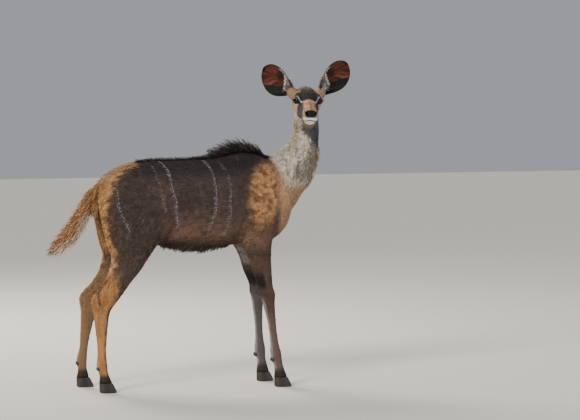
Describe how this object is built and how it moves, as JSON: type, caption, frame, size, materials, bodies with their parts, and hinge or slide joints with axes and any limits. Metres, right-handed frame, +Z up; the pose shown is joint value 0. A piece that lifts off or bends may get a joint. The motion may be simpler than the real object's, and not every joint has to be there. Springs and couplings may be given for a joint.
{
  "type": "greater kudu",
  "caption": "Life-size still model of a young hornless greater kudu cow, standing broadside with its head turned to its right and its tail held out.",
  "frame": {"origin": "middle of the bounding box, at the soles of the hooves", "axes": "+X from the rump to the breast, +Y to the animal's left, +Z up"},
  "size_m": [1.2952, 0.377, 1.3775],
  "materials": {
    "coat": "short grey-brown hair with thin white stripes",
    "coat_tan": "ochre-tan hair of tail and lower legs",
    "ear": "mahogany skin inside, grey-brown hair outside",
    "eye": "wet, near-black",
    "hoof": "black horn, lightly worn"
  },
  "bodies": {
    "root": {"torso": "coat", "neck": "coat", "head": "coat", "tail": "coat_tan", "ear_left": "ear", "ear_right": "ear", "eye_left": "eye", "eye_right": "eye", "foreleg_right_upper": "coat", "foreleg_right_lower": "coat_tan", "foreleg_right_claw_outer": "hoof", "foreleg_right_claw_inner": "hoof", "foreleg_left_upper": "coat", "foreleg_left_lower": "coat_tan", "foreleg_left_claw_outer": "hoof", "foreleg_left_claw_inner": "hoof", "hindleg_right_upper": "coat", "hindleg_right_lower": "coat_tan", "hindleg_right_claw_outer": "hoof", "hindleg_right_claw_inner": "hoof", "hindleg_left_upper": "coat", "hindleg_left_lower": "coat_tan", "hindleg_left_claw_outer": "hoof", "hindleg_left_claw_inner": "hoof"}
  },
  "joints": []
}
